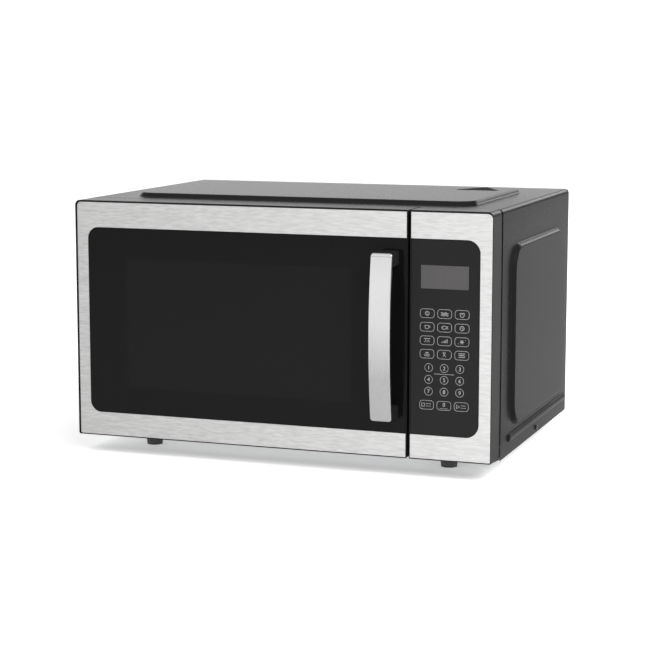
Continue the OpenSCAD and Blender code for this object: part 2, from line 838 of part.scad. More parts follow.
outer_cover();
base_plate();
rear_panel();
oven_cavity();
waveguide_cover();
grill_heater();
magnetron();
transformer();
hv_capacitor();
fan_motor();
fan_blade();
oven_lamp();
turntable_motor();
turntable_coupler();
glass_tray();
roller_ring();
roller_wheel(0);  // roller_wheel_1
roller_wheel(120);  // roller_wheel_2
roller_wheel(240);  // roller_wheel_3
interlock_housing();
control_housing();
control_trim();
keypad_panel();
control_board();
cord_gland();
feet();
case_screws();
hinge_brackets();
door_frame();
door_trim();
door_glass();
door_pan();
choke_cover();
handle_grip();
handle_posts();
door_latch();
key_cap() food_outline(0, 0);  // key_auto_1
key_cap() food_outline(1, 0);  // key_auto_2
key_cap() food_outline(2, 0);  // key_auto_3
key_cap() food_outline(3, 0);  // key_auto_4
key_cap() food_outline(4, 0);  // key_auto_5
key_cap() food_outline(5, 0);  // key_auto_6
key_cap() food_outline(6, 0);  // key_auto_7
key_cap() food_outline(7, 0);  // key_auto_8
key_cap() food_outline(8, 0);  // key_auto_9
key_cap() food_outline(9, 0);  // key_auto_10
key_cap() food_outline(10, 0);  // key_auto_11
key_cap() food_outline(11, 0);  // key_auto_12
key_cap() digit_outline(0, 0);  // key_1
key_cap() digit_outline(1, 0);  // key_2
key_cap() digit_outline(2, 0);  // key_3
key_cap() digit_outline(3, 0);  // key_4
key_cap() digit_outline(4, 0);  // key_5
key_cap() digit_outline(5, 0);  // key_6
key_cap() digit_outline(6, 0);  // key_7
key_cap() digit_outline(7, 0);  // key_8
key_cap() digit_outline(8, 0);  // key_9
key_cap() last_outline(0, 0);  // key_stop
key_cap() last_outline(1, 0);  // key_0
key_cap() last_outline(2, 0);  // key_start
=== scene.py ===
"""Looks of a counter-top microwave oven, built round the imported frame.

Lengths are in millimetres until at() turns them into metres. Heights count from the floor, and depths
count from the front face, towards the back."""
import json
import math

import bmesh
import bpy
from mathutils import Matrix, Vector


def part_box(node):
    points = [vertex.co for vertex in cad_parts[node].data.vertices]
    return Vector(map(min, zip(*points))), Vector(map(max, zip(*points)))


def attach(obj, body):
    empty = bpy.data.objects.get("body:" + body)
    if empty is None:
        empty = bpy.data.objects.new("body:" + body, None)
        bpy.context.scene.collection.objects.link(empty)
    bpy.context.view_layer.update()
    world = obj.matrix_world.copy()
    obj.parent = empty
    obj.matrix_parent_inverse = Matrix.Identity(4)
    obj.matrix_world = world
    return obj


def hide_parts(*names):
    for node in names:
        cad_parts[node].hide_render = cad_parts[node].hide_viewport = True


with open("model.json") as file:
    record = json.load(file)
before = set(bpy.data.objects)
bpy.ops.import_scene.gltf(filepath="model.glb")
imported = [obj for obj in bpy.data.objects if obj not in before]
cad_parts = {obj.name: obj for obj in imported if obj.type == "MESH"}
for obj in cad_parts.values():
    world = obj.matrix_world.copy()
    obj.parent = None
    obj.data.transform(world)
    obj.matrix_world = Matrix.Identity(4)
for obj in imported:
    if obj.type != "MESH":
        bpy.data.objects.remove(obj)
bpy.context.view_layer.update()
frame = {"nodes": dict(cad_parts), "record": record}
node_body = {name: body for body, names in frame["record"]["behaviour"]["bodies"].items() for name in names}
node_slot = {part["node"]: part["material_slot"] for part in frame["record"]["subparts"]}

MM = 0.001
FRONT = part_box("door_trim")[0].y
# Thickness of the cover's and the door pan's sheet
SHEET = 0.8
# Lowest and highest corner of the glass's clear middle and of the display
WINDOW = Vector((-200.6, 0, 85.3)), Vector((95.3, 0, 247.8))
DISPLAY = Vector((181.6, 0, 227.2)), Vector((240.2, 0, 255.2))
# Corner radius of the black area on the door and on the control panel
GLASS_R = 16.0


def at(x, y, z):
    """A point in millimetres, with its depth counted from the front face, in the frame's metres."""
    return Vector((x * MM, FRONT + y * MM, z * MM))


def span(node):
    """The lowest and highest corner of a CAD node, in millimetres counted as at() counts them."""
    low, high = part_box(node)
    front = Vector((0, FRONT, 0))
    return (low - front) / MM, (high - front) / MM


# ---- materials ----

class Finish:
    """A Principled material whose colour, roughness and relief come from procedural nodes."""

    def __init__(self, name, **sockets):
        self.material = bpy.data.materials.new(name)
        self.material.use_nodes = True
        self.tree = self.material.node_tree
        self.shader = self.tree.nodes["Principled BSDF"]
        self.place = self.node("TexCoord").outputs["Object"]
        for socket, value in sockets.items():
            self.shader.inputs[socket.replace("_", " ")].default_value = value

    def node(self, kind, settings=None, **inputs):
        made = self.tree.nodes.new("ShaderNode" + kind)
        for name, value in (settings or {}).items():
            setattr(made, name, value)
        for name, value in inputs.items():
            self.set(made.inputs[name.replace("_", " ")], value)
        return made

    def set(self, socket, value):
        if isinstance(value, bpy.types.NodeSocket):
            self.tree.links.new(value, socket)
        else:
            socket.default_value = value

    def math(self, operation, a, b=0.0):
        made = self.node("Math", {"operation": operation})
        self.set(made.inputs[0], a)
        self.set(made.inputs[1], b)
        return made.outputs[0]

    def noise(self, scale, detail=3.0, stretch=(1, 1, 1)):
        """Noise with scale waves a metre, fewer along an axis whose stretch is below 1."""
        moved = self.node("Mapping", Vector=self.place, Scale=stretch).outputs[0]
        return self.node("TexNoise", Vector=moved, Scale=scale, Detail=detail).outputs["Fac"]

    def between(self, share, low, high, start=0.3, end=0.7):
        """A number from low to high as share goes from start to end."""
        made = self.node("MapRange", Value=share)
        for name, value in (("From Min", start), ("From Max", end), ("To Min", low), ("To Max", high)):
            made.inputs[name].default_value = value
        return made.outputs[0]

    def tint(self, share, dark, light):
        """A colour from dark to light as share goes from 0 to 1."""
        made = self.node("Mix", {"data_type": "RGBA"})
        self.set(made.inputs[0], share)
        made.inputs[6].default_value = (*dark, 1)
        made.inputs[7].default_value = (*light, 1)
        return made.outputs[2]

    def colour(self, value):
        self.set(self.shader.inputs["Base Color"], value if hasattr(value, "node") else (*value, 1))
        return self

    def roughness(self, value):
        self.set(self.shader.inputs["Roughness"], value)
        return self

    def relief(self, height, strength, depth):
        """Bumps of up to depth millimetres."""
        bump = self.node("Bump", Height=height, Strength=strength, Distance=depth * MM)
        self.set(self.shader.inputs["Normal"], bump.outputs[0])
        return self


def grey(level):
    return (level, level, level)


def brushed_steel():
    """Stainless sheet brushed from left to right.

    In place of a studio's reflections, its colour carries a painted reflection that grows gradually lighter
    to the right and upwards."""
    steel = Finish("brushed_steel", Metallic=1.0)
    fine = steel.noise(2600, 2.0, (0.06, 1, 1))
    broad = steel.noise(520, 3.0, (0.14, 1, 1))
    cloud = steel.noise(7, 2.0, (0.5, 1, 1))
    lines = steel.math("ADD", steel.math("MULTIPLY", fine, 0.3), steel.math("MULTIPLY", broad, 0.7))
    x, _, z = steel.node("SeparateXYZ", Vector=steel.place).outputs
    # Painted reflection: the colour grows lighter to the right and upwards
    rightward = steel.between(x, 0.0, 0.68, -0.27, 0.27)
    upward = steel.between(z, -0.05, 0.10, 0.03, 0.31)
    painted_reflection = steel.math("ADD", rightward, upward)
    share = steel.math("ADD", painted_reflection, steel.between(lines, -0.14, 0.37, 0.36, 0.64))
    steel.colour(steel.tint(share, (0.355, 0.353, 0.351), (0.575, 0.572, 0.569)))
    mottled = steel.math("ADD", steel.between(lines, 0.31, 0.40), steel.between(cloud, -0.02, 0.03))
    return steel.roughness(mottled).relief(lines, 0.22, 0.04)


def satin_metal():
    """The handle's satin finish.

    It has very fine lines along it, painted shade over its lower half in place of the darker reflections
    there, and a painted shade line at a fold near its top."""
    metal = Finish("satin_metal", Metallic=1.0)
    lines = metal.noise(2200, 2.0, (1, 1, 0.02))
    z = metal.node("SeparateXYZ", Vector=metal.place).outputs[2]
    fold_z = 0.2655
    off_fold = metal.math("ABSOLUTE", metal.math("SUBTRACT", z, fold_z))
    # Painted shade: darker over the lower half and along a thin line at the fold near the top
    shade = metal.math("MULTIPLY", metal.between(z, 0.50, 0.94, 0.12, 0.19),
                       metal.between(off_fold, 0.55, 1.0, 0.0002, 0.0006))
    share = metal.math("ADD", shade, metal.between(lines, 0.0, 0.12))
    metal.colour(metal.tint(share, (0.085, 0.085, 0.086), (0.50, 0.50, 0.503)))
    return metal.roughness(metal.between(lines, 0.28, 0.33)).relief(lines, 0.1, 0.015)


def door_window(low, high):
    """Black-printed glass, whose clear middle shows the perforated screen as very faint dots."""
    glass = Finish("door_glass", IOR=1.5, Coat_Weight=0.0, Specular_IOR_Level=0.085)
    x, _, z = glass.node("SeparateXYZ", Vector=glass.place).outputs
    middle = (low + high) * MM / 2
    half = (high - low) * MM / 2
    edge = 0.0012
    mask = 1.0
    for value, centre, reach in ((x, middle.x, half.x), (z, middle.z, half.z)):
        off = glass.math("ABSOLUTE", glass.math("SUBTRACT", value, centre))
        mask = glass.math("MULTIPLY", mask, glass.between(off, 1.0, 0.0, reach - edge, reach + edge))
    dot_pitch = 0.0036
    turn = 2 * math.pi / dot_pitch
    dots = glass.math("MULTIPLY", glass.math("SINE", glass.math("MULTIPLY", x, turn)),
                      glass.math("SINE", glass.math("MULTIPLY", z, turn)))
    seen = glass.math("MULTIPLY", mask, glass.between(dots, 0.75, 1.0, -0.3, 0.3))
    glass.colour(glass.tint(seen, (0.0044, 0.0044, 0.0046), (0.0066, 0.0066, 0.0069)))
    return glass.roughness(glass.between(glass.noise(3, 2.0), 0.045, 0.075))


def black_film():
    """The keypad's gloss film, its black a little uneven."""
    film = Finish("black_film", Specular_IOR_Level=0.11)
    film.colour(film.tint(film.between(film.noise(4, 2.0), 0.0, 1.0), grey(0.0090), grey(0.0112)))
    grain = film.noise(2600, 2.0)
    return film.roughness(film.between(grain, 0.16, 0.20)).relief(grain, 0.04, 0.02)


def moulded(name, dark, light, rough=0.42, grain=1900, depth=0.05, **sockets):
    """A moulded, cast or painted surface with a fine spark texture."""
    sockets.setdefault("IOR", 1.3)
    plastic = Finish(name, **sockets)
    texture = plastic.noise(grain, 3.0)
    plastic.colour(plastic.tint(plastic.between(plastic.noise(24, 3.0), 0.0, 1.0), dark, light))
    plastic.roughness(plastic.between(texture, rough - 0.05, rough + 0.06))
    return plastic.relief(texture, 0.25, depth)


def cover_paint():
    """Dark grey semi-gloss paint with a faint orange peel."""
    paint = Finish("cover_paint", IOR=1.062)
    peel = paint.noise(850, 3.0)
    cloud = paint.noise(9, 2.0)
    speck = paint.between(paint.noise(3800, 1.0), 0.0, 1.0, 0.45, 0.62)
    share = paint.math("ADD", paint.math("MULTIPLY", cloud, 0.5), paint.math("MULTIPLY", speck, 0.35))
    paint.colour(paint.tint(share, grey(0.0105), grey(0.014)))
    return paint.roughness(paint.between(peel, 0.25, 0.29)).relief(peel, 0.03, 0.03)


def zinc_sheet():
    """Galvanised sheet with a small spangle."""
    zinc = Finish("zinc_sheet", Metallic=0.85)
    spangle = zinc.node("TexVoronoi", Vector=zinc.place, Scale=130.0).outputs["Color"]
    patch = zinc.node("SeparateXYZ", Vector=spangle).outputs[0]
    zinc.colour(zinc.tint(patch, (0.44, 0.45, 0.46), (0.60, 0.61, 0.62)))
    zinc.roughness(zinc.between(patch, 0.36, 0.50, 0.0, 1.0))
    return zinc.relief(zinc.noise(900, 2.0), 0.08, 0.03)


def enamel():
    """Light grey baked enamel with fine specks."""
    coat = Finish("cavity_enamel", Coat_Weight=0.25, Coat_Roughness=0.15)
    speck = coat.between(coat.noise(1500, 2.0), 0.0, 1.0, 0.60, 0.68)
    coat.colour(coat.tint(speck, (0.50, 0.50, 0.48), (0.24, 0.24, 0.23)))
    coat.roughness(coat.between(coat.noise(30, 2.0), 0.30, 0.38))
    return coat.relief(coat.noise(700, 2.0), 0.06, 0.04)


def mica():
    sheet = Finish("mica")
    flake = sheet.noise(160, 5.0, (1, 1, 0.4))
    sheet.colour(sheet.tint(sheet.between(flake, 0.0, 1.0), (0.33, 0.25, 0.15), (0.58, 0.49, 0.34)))
    return sheet.roughness(sheet.between(flake, 0.35, 0.6)).relief(flake, 0.2, 0.05)


def heater_steel():
    steel = Finish("heater_steel", Metallic=0.9)
    heat = steel.noise(35, 3.0)
    steel.colour(steel.tint(steel.between(heat, 0.0, 1.0), (0.12, 0.11, 0.10), (0.30, 0.27, 0.24)))
    steel.roughness(steel.between(heat, 0.35, 0.55))
    return steel.relief(steel.noise(1200, 2.0), 0.1, 0.03)


def tray_glass():
    glass = Finish("tray_glass", IOR=1.5, Transmission_Weight=0.92)
    swirl = glass.noise(40, 2.0)
    glass.colour(glass.tint(glass.between(swirl, 0.0, 1.0), (0.80, 0.90, 0.88), (0.88, 0.95, 0.94)))
    return glass.roughness(glass.between(swirl, 0.03, 0.06)).relief(swirl, 0.05, 0.05)


def display_glass():
    """The unlit display's grey filter."""
    lens = Finish("display_filter", Specular_IOR_Level=0.35)
    grain = lens.noise(900, 2.0)
    share = lens.between(grain, 0.0, 1.0)
    lens.colour(lens.tint(share, (0.050, 0.0475, 0.0483), (0.058, 0.0546, 0.0563)))
    return lens.roughness(lens.between(grain, 0.28, 0.36)).relief(grain, 0.05, 0.02)


def printed_ink(name, level, **sockets):
    ink = Finish(name, **sockets)
    grain = ink.noise(2400, 2.0)
    ink.colour(ink.tint(ink.between(grain, 0.0, 1.0), grey(level * 0.85), grey(level * 1.1)))
    return ink.roughness(ink.between(grain, 0.4, 0.5)).relief(grain, 0.05, 0.01)


def perforated_paint():
    paint = Finish("screen_paint")
    peel = paint.noise(900, 2.0)
    paint.colour(paint.tint(paint.between(peel, 0.0, 1.0), grey(0.030), grey(0.042)))
    return paint.roughness(paint.between(peel, 0.36, 0.46)).relief(peel, 0.1, 0.04)


def board_green():
    board = Finish("board_green")
    tracks = board.node("TexBrick", Vector=board.place, Scale=90.0).outputs["Fac"]
    board.colour(board.tint(tracks, (0.01, 0.10, 0.04), (0.03, 0.20, 0.09)))
    return board.roughness(board.between(board.noise(300), 0.3, 0.4)).relief(tracks, 0.1, 0.03)


# A finish for each material slot in the record
FINISHES = {
    "painted_cover": cover_paint(),
    "brushed_trim": brushed_steel(),
    "handle_metal": satin_metal(),
    "door_glass": door_window(*WINDOW),
    "black_panel": black_film(),
    "front_plastic": moulded("front_plastic", grey(0.010), grey(0.014), 0.28, IOR=1.066),
    "choke_plastic": moulded("choke_plastic", grey(0.026), grey(0.034), 0.5),
    "foot_plastic": moulded("foot_rubber", grey(0.065), grey(0.085), 0.62, 1100, 0.08),
    "gland_rubber": moulded("gland_rubber", grey(0.016), grey(0.024), 0.6, 1100, 0.08),
    "zinc_sheet": zinc_sheet(),
    "cavity_enamel": enamel(),
    "mica": mica(),
    "heater_steel": heater_steel(),
    "tray_glass": tray_glass(),
    "roller_plastic": moulded("roller_plastic", grey(0.62), grey(0.70), 0.4),
    "coupler_plastic": moulded("coupler_plastic", (0.60, 0.56, 0.46), (0.68, 0.64, 0.54), 0.4),
    "latch_plastic": moulded("latch_plastic", grey(0.60), grey(0.68), 0.35),
    "fan_plastic": moulded("fan_plastic", grey(0.50), grey(0.58), 0.4),
    "lamp_white": moulded("lamp_white", grey(0.65), grey(0.72), 0.35),
    "bay_plastic": moulded("bay_plastic", grey(0.045), grey(0.06), 0.5),
    "transformer_iron": moulded("varnished_iron", (0.10, 0.055, 0.03), (0.16, 0.09, 0.05), 0.35, 700, 0.1),
    "capacitor_can": moulded("drawn_can", grey(0.5), grey(0.56), 0.3, Metallic=1.0),
    "screw_steel": moulded("screw_black", grey(0.016), grey(0.024), 0.4, 900, 0.04),
    "door_pan_paint": perforated_paint(),
    "circuit_board": board_green(),
}
FINISHES["key_film"] = FINISHES["black_panel"]
key_ink = printed_ink("key_ink", 0.34)
segment_ink = printed_ink("segment_ink", 0.060, Specular_IOR_Level=0.35)
display_finish = display_glass()
pad_finish = moulded("dark_sticker", grey(0.012), grey(0.018), 0.6, IOR=1.03)


# ---- mesh tools ----

# Edges that turn by more degrees than this are sharp, and get rounded
SHARP = 32
# Distances in metres within which points become one, in made shapes and in CAD shapes
MADE_WELD = 0.00001
CAD_WELD = 0.000002
# Joined CAD faces with more corners than this are split into triangles again
MANY_CORNERS = 12


class Shape:
    """Points in millimetres and the faces between them."""

    def __init__(self):
        self.points = []
        self.faces = []

    def loop(self, points):
        first = len(self.points)
        self.points.extend(points)
        return list(range(first, len(self.points)))

    def bridge(self, a, b, closed=True):
        for i in range(len(a) if closed else len(a) - 1):
            j = (i + 1) % len(a)
            self.faces.append((a[i], a[j], b[j], b[i]))

    def cap(self, loop):
        self.faces.append(tuple(loop))

    def loft(self, rings, first=True, last=True):
        loops = [self.loop(ring) for ring in rings]
        for a, b in zip(loops, loops[1:]):
            self.bridge(a, b)
        if first:
            self.cap(loops[0])
        if last:
            self.cap(loops[-1])
        return loops

    def strip(self, outer_path, inner_path, y0, y1):
        """A flat bar from depth y0 to y1 between two open paths of (x, z) points."""
        sections = ((outer_path, y0), (inner_path, y0), (inner_path, y1), (outer_path, y1))
        loops = [self.loop([(x, y, z) for x, z in path]) for path, y in sections]
        for a, b in zip(loops, loops[1:] + loops[:1]):
            self.bridge(a, b, closed=False)
        for end in (0, -1):
            self.cap([loop[end] for loop in loops])


def outline(low, high, radii, steps=12):
    """A rectangle with its own radius at each corner, from the lower left one, counter-clockwise."""
    radii = radii if hasattr(radii, "__len__") else [radii] * 4
    corners = [(low[0], low[1]), (high[0], low[1]), (high[0], high[1]), (low[0], high[1])]
    inward = [(1, 1), (-1, 1), (-1, -1), (1, -1)]
    points = []
    for i in range(4):
        centre = [corners[i][k] + inward[i][k] * radii[i] for k in (0, 1)]
        for k in range(steps + 1):
            turn = math.pi + math.pi / 2 * (i + k / steps)
            points.append((centre[0] + radii[i] * math.cos(turn), centre[1] + radii[i] * math.sin(turn)))
    return points


def circle(centre, r, steps):
    turns = [2 * math.pi * k / steps for k in range(steps)]
    return [(centre[0] + r * math.cos(t), centre[1] + r * math.sin(t)) for t in turns]


def settle(piece, finish, body, stands_for):
    """Gives a piece its material and its body, and hides the CAD nodes it stands for."""
    piece.data.materials.clear()
    piece.data.materials.append(finish.material)
    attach(piece, body)
    if stands_for:
        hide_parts(*stands_for)


def soften(piece, bevel, sharp=SHARP):
    """Smooth shading, with the sharp edges rounded by bevel millimetres."""
    mesh = piece.data
    mesh.shade_smooth()
    mesh.set_sharp_from_angle(angle=math.radians(sharp))
    if bevel:
        rounding = piece.modifiers.new("rounding", "BEVEL")
        rounding.width = bevel * MM
        rounding.segments = 2
        rounding.limit_method = "ANGLE"
        rounding.angle_limit = math.radians(sharp)
        rounding.miter_outer = "MITER_ARC"
        rounding.use_clamp_overlap = True
    weights = piece.modifiers.new("weights", "WEIGHTED_NORMAL")
    weights.keep_sharp = True


def linked(name, data):
    """A new object in the scene."""
    made = bpy.data.objects.new(name, data)
    bpy.context.scene.collection.objects.link(made)
    return made


def piece_from(shape, name, finish, body, stands_for=(), bevel=0.0, sharp=SHARP):
    """An object made from a shape."""
    mesh = bpy.data.meshes.new(name)
    mesh.from_pydata([at(*p) for p in shape.points], [], shape.faces)
    edit = bmesh.new()
    edit.from_mesh(mesh)
    bmesh.ops.remove_doubles(edit, verts=edit.verts, dist=MADE_WELD)
    bmesh.ops.dissolve_degenerate(edit, edges=edit.edges, dist=MADE_WELD)
    bmesh.ops.recalc_face_normals(edit, faces=edit.faces)
    edit.to_mesh(mesh)
    edit.free()
    piece = linked(name, mesh)
    soften(piece, bevel, sharp)
    settle(piece, finish, body, stands_for)
    return piece


def refined(node, bevel):
    """A CAD node's shape with its triangles joined into whole faces and its sharp edges rounded.

    A joined face that runs round an opening can close over it when its edges are rounded. Such faces have
    many corners, so faces with more than MANY_CORNERS go back to triangles."""
    mesh = frame["nodes"][node].data.copy()
    name = node + "_refined"
    mesh.name = name
    if "custom_normal" in mesh.attributes:
        mesh.attributes.remove(mesh.attributes["custom_normal"])
    edit = bmesh.new()
    edit.from_mesh(mesh)
    bmesh.ops.remove_doubles(edit, verts=edit.verts, dist=CAD_WELD)
    bmesh.ops.dissolve_limit(edit, angle_limit=math.radians(0.5), verts=edit.verts, edges=edit.edges)
    large = [face for face in edit.faces if len(face.verts) > MANY_CORNERS]
    bmesh.ops.triangulate(edit, faces=large)
    bmesh.ops.recalc_face_normals(edit, faces=edit.faces)
    edit.to_mesh(mesh)
    edit.free()
    piece = linked(name, mesh)
    soften(piece, bevel)
    slot = node_slot[node]
    settle(piece, FINISHES[slot], node_body[node], [node])


# ---- outer cover ----

cover_low, cover_high = span("outer_cover")
# The flat sides, how far their raised panels stand out, and the flat top below its raised panel
side_x = -span("door_frame")[0].x
side_rise = cover_high.x - side_x
top_rise = 5.0
top_z = cover_high.z - top_rise
# Radius of the two long folds
fold_r = 6.0
# Height at which the side's sheet is split between its bead and its raised panel
SPLIT_Z = 46.0
# How far the flat sheet's last outline stays outside a bead's foot
GUARD = 1.0
# How far the cover's front edge starts behind the CAD's
FRONT_GAP = 0.5
# Raised panels: lowest and highest corner, corner radius, the slope's run in each direction, and its blend
SIDE_PANEL = [82.5, 50], [352, 273.8], 31, [4, 4], 0.3
TOP_PANEL = [-224.4, 69], [224.4, 328], 28, [2.5, 7], 0.45
# Bead: lowest and highest corner, and rise
SIDE_BEAD = [74.9, 33.8], [381.8, 43.4], 3.0


def pressed(low, high, r, run, blend, rise, steps=6):
    """Rings of a pressed panel as (outline, height) pairs.

    Its edge climbs by rise over a run in each direction. The climb is straight, but curves into the flat
    sheet over a share, blend, of the run on both sides of its foot and of its top."""
    turns = [2 * blend * k / steps - blend for k in range(steps + 1)]
    # One ring more on the flat sheet at both ends
    beyond = 0.3
    shares = [-blend - beyond] + turns + [1 + turn for turn in turns] + [1 + beyond + blend]
    rings = []
    for share in shares:
        foot, top = max(share + blend, 0), max(1 + blend - share, 0)
        climb = foot * foot / (4 * blend) if share < blend else 1 - top * top / (4 * blend)
        inset = [length * share for length in run]
        ring = outline([v + i for v, i in zip(low, inset)], [v - i for v, i in zip(high, inset)],
                       r - max(run) * share / 2)
        rings.append((ring, rise * climb))
    return rings


def half_round(low, high, rise, steps=8):
    """Rings of a long half-round bead as (outline, height) pairs."""
    half = (high[1] - low[1]) / 2
    rings = [(outline([v - GUARD for v in low], [v + GUARD for v in high], half + GUARD), 0.0)]
    for k in range(steps + 1):
        turn = math.pi / 2 * k / steps
        inset = (half - 0.05) * (1 - math.cos(turn))
        ring = outline([v + inset for v in low], [v - inset for v in high], half - inset)
        rings.append((ring, rise * math.sin(turn)))
    return rings


def outer_cover():
    """One folded sheet: two sides and a top with pressed panels, and a bead low on each side."""
    shape = Shape()
    front, back = cover_low.y + FRONT_GAP, cover_high.y
    bottom, shoulder = cover_low.z, top_z - fold_r
    for side in (-1, 1):
        wall = side * side_x
        for low_z, high_z, rings in (
                (SPLIT_Z, shoulder, pressed(*SIDE_PANEL, side_rise)),
                (bottom, SPLIT_Z, half_round(*SIDE_BEAD))):
            loops = [[(wall, y, z) for y, z in outline([front, low_z], [back, high_z], 0)]]
            loops += [[(wall + side * h, y, z) for y, z in ring] for ring, h in rings]
            shape.loft(loops, first=False)
        fold = [(wall - side * fold_r * (1 - math.cos(t)), shoulder + fold_r * math.sin(t))
                for t in (math.pi / 2 * k / 8 for k in range(9))]
        near = shape.loop([(x, front, z) for x, z in fold])
        far = shape.loop([(x, back, z) for x, z in fold])
        shape.bridge(near, far, closed=False)
    flat = side_x - fold_r
    loops = [[(x, y, top_z) for x, y in outline([-flat, front], [flat, back], 0)]]
    loops += [[(x, y, top_z + h) for x, y in ring] for ring, h in pressed(*TOP_PANEL, top_rise)]
    shape.loft(loops, first=False)
    cover = piece_from(shape, "cover_sheet", FINISHES["painted_cover"], "cabinet",
                       ["outer_cover"])
    sheet = cover.modifiers.new("sheet", "SOLIDIFY")
    sheet.thickness = SHEET * MM
    sheet.offset = -1
    sheet.use_even_offset = True
    cover.modifiers.move(len(cover.modifiers) - 1, 0)


def rear_flange():
    """The cover's turned-in edge that the rear screws go through."""
    depth = span("rear_panel")[1].y
    width = 12.0
    shape = Shape()
    inner, under = side_x - SHEET, top_z - SHEET
    outer_path = [(-inner, cover_low.z), (-inner, under), (inner, under), (inner, cover_low.z)]
    inner_path = [(-inner + width, cover_low.z), (-inner + width, under - width),
                  (inner - width, under - width), (inner - width, cover_low.z)]
    shape.strip(outer_path, inner_path, depth, depth + SHEET)
    piece_from(shape, "cover_rear_flange", FINISHES["painted_cover"], "cabinet",
               bevel=0.2)


outer_cover()
rear_flange()


# ---- front ----

def c_shaped(open_side, outer, inner, y0, y1, outer_r, inner_r, steps=14):
    """A flat band round three sides of a rectangle, open at x = open_side."""
    shape = Shape()
    (ox, oz0, oz1), (ix, iz0, iz1) = outer, inner
    away = 1 if open_side > ox else -1

    def path(x, z0, z1, r_low, r_high):
        points = [(open_side, z0)]
        for corner_z, r, start in ((z0, r_low, -90), (z1, r_high, 180)):
            centre = (x + away * r, corner_z + (r if corner_z == z0 else -r))
            for k in range(steps + 1):
                turn = math.radians(start - 90 * k / steps)
                points.append((centre[0] + away * r * math.cos(turn), centre[1] + r * math.sin(turn)))
        return points + [(open_side, z1)]

    shape.strip(path(ox, oz0, oz1, *outer_r), path(ix, iz0, iz1, *inner_r), y0, y1)
    return shape


# How far the steel reaches under the glass and under the film
TUCK = 1.9
BAND_BEVEL = 0.22
trim_low, trim_high = span("door_trim")
glass_low, glass_high = span("door_glass")
door_band = c_shaped(trim_high.x, (trim_low.x, trim_low.z, trim_high.z),
                     (glass_low.x + TUCK, glass_low.z + TUCK, glass_high.z - TUCK),
                     trim_low.y, trim_high.y, (2.0, 5.0), (GLASS_R - 2, GLASS_R - 2))
piece_from(door_band, "door_steel_band", FINISHES["brushed_trim"], "door",
           ["door_trim"], BAND_BEVEL)
panel_low, panel_high = span("control_trim")
film_low, film_high = span("keypad_panel")
panel_band = c_shaped(panel_low.x, (panel_high.x, panel_low.z, panel_high.z),
                      (film_high.x - TUCK, film_low.z + TUCK, film_high.z - TUCK),
                      panel_low.y, panel_high.y, (1.5, 6.5), (GLASS_R, GLASS_R))
piece_from(panel_band, "panel_steel_band", FINISHES["brushed_trim"], "cabinet",
           ["control_trim"], BAND_BEVEL)


def door_pane():
    """The black glass, with its front edge ground round."""
    shape = Shape()
    radii = [GLASS_R, 0.5, 0.5, GLASS_R]
    low, high = (glass_low.x, glass_low.z), (glass_high.x, glass_high.z)
    front, back = glass_low.y, glass_high.y
    rings = []
    for inset, y in ((0.8, front), (0.25, front + 0.25), (0, front + 0.8), (0, back - 0.3), (0.3, back)):
        ring = outline([v + inset for v in low], [v - inset for v in high],
                       [max(r - inset, 0.1) for r in radii])
        rings.append([(x, y, z) for x, z in ring])
    shape.loft(rings)
    piece_from(shape, "door_glass_pane", FINISHES["door_glass"], "door",
               ["door_glass"], sharp=50)


door_pane()


# ---- handle ----

def handle_grip():
    """A plate bowed about a far axis, with rounded corners and edges."""
    shape = Shape()
    grip_low, grip_high = span("handle_grip")
    reach, bow = -grip_low.y, 8.4
    thick, corner, edge_r = 5.0, 3.5, 0.9
    half_w, half_l = (grip_high.x - grip_low.x) / 2, (grip_high.z - grip_low.z) / 2
    mid_x, mid_z = (grip_high.x + grip_low.x) / 2, (grip_high.z + grip_low.z) / 2
    bow_r = (half_l * half_l + bow * bow) / (2 * bow)

    def ring(inset, depth):
        """Right side upwards, then left side downwards, so that point k faces point -1 - k."""
        r = corner - inset
        turn = [math.pi / 2 * k / 8 for k in range(9)]
        side = [(half_w - corner + r * math.sin(t), -half_l + corner - r * math.cos(t)) for t in turn]
        side += [(half_w - inset, (half_l - corner) * (k / 20 - 1)) for k in range(1, 40)]
        side += [(x, -z) for x, z in reversed(side[:9])]
        both = side + [(-x, z) for x, z in reversed(side)]
        return [(mid_x + x, bow_r - reach - math.sqrt((bow_r - depth) ** 2 - z * z), mid_z + z)
                for x, z in both]

    steps = [(edge_r * (1 - math.sin(t)), edge_r * (1 - math.cos(t)))
             for t in (math.pi / 2 * k / 4 for k in range(5))]
    rings = [ring(inset, depth) for inset, depth in steps]
    rings += [ring(inset, thick - depth) for inset, depth in reversed(steps)]
    loops = shape.loft(rings, first=False, last=False)
    for loop in (loops[0], loops[-1]):
        for k in range(len(loop) // 2 - 1):
            shape.faces.append((loop[k], loop[k + 1], loop[-2 - k], loop[-1 - k]))
    piece_from(shape, "handle_bar", FINISHES["handle_metal"], "door",
               ["handle_grip"], sharp=60)


handle_grip()


# ---- prints ----

# How far prints stand in front of the key or film below them
INK = 0.03
# Keys: how far the ring lies inside the key's edge, an oblong key's corner radius and a digit's height
RING_INSET = 0.45
KEY_R = 4.0
DIGIT_HEIGHT = 4.6
# Widths of the ring and of a picture's lines, and how much pictures and their dots are enlarged
RING_LINE = 0.42
PICTURE_LINE = 0.58
PICTURE_SCALE = 1.1
DOT_SCALE = 1.2


def ribbon(shape, path, y, width, closed=False):
    """A flat printed line of the given width along a path of (x, z) points."""
    left, right = [], []
    last = len(path) - 1
    for k, (x, z) in enumerate(path):
        before = path[(k - 1) % len(path)] if closed or k else path[k]
        after = path[(k + 1) % len(path)] if closed or k < last else path[k]
        run = Vector((after[0] - before[0], after[1] - before[1])).normalized() * width / 2
        left.append((x - run.y, y, z + run.x))
        right.append((x + run.y, y, z - run.x))
    shape.bridge(shape.loop(left), shape.loop(right), closed)


def disc(shape, centre, r, y):
    shape.cap(shape.loop([(x, y, z) for x, z in circle(centre, r, 20)]))


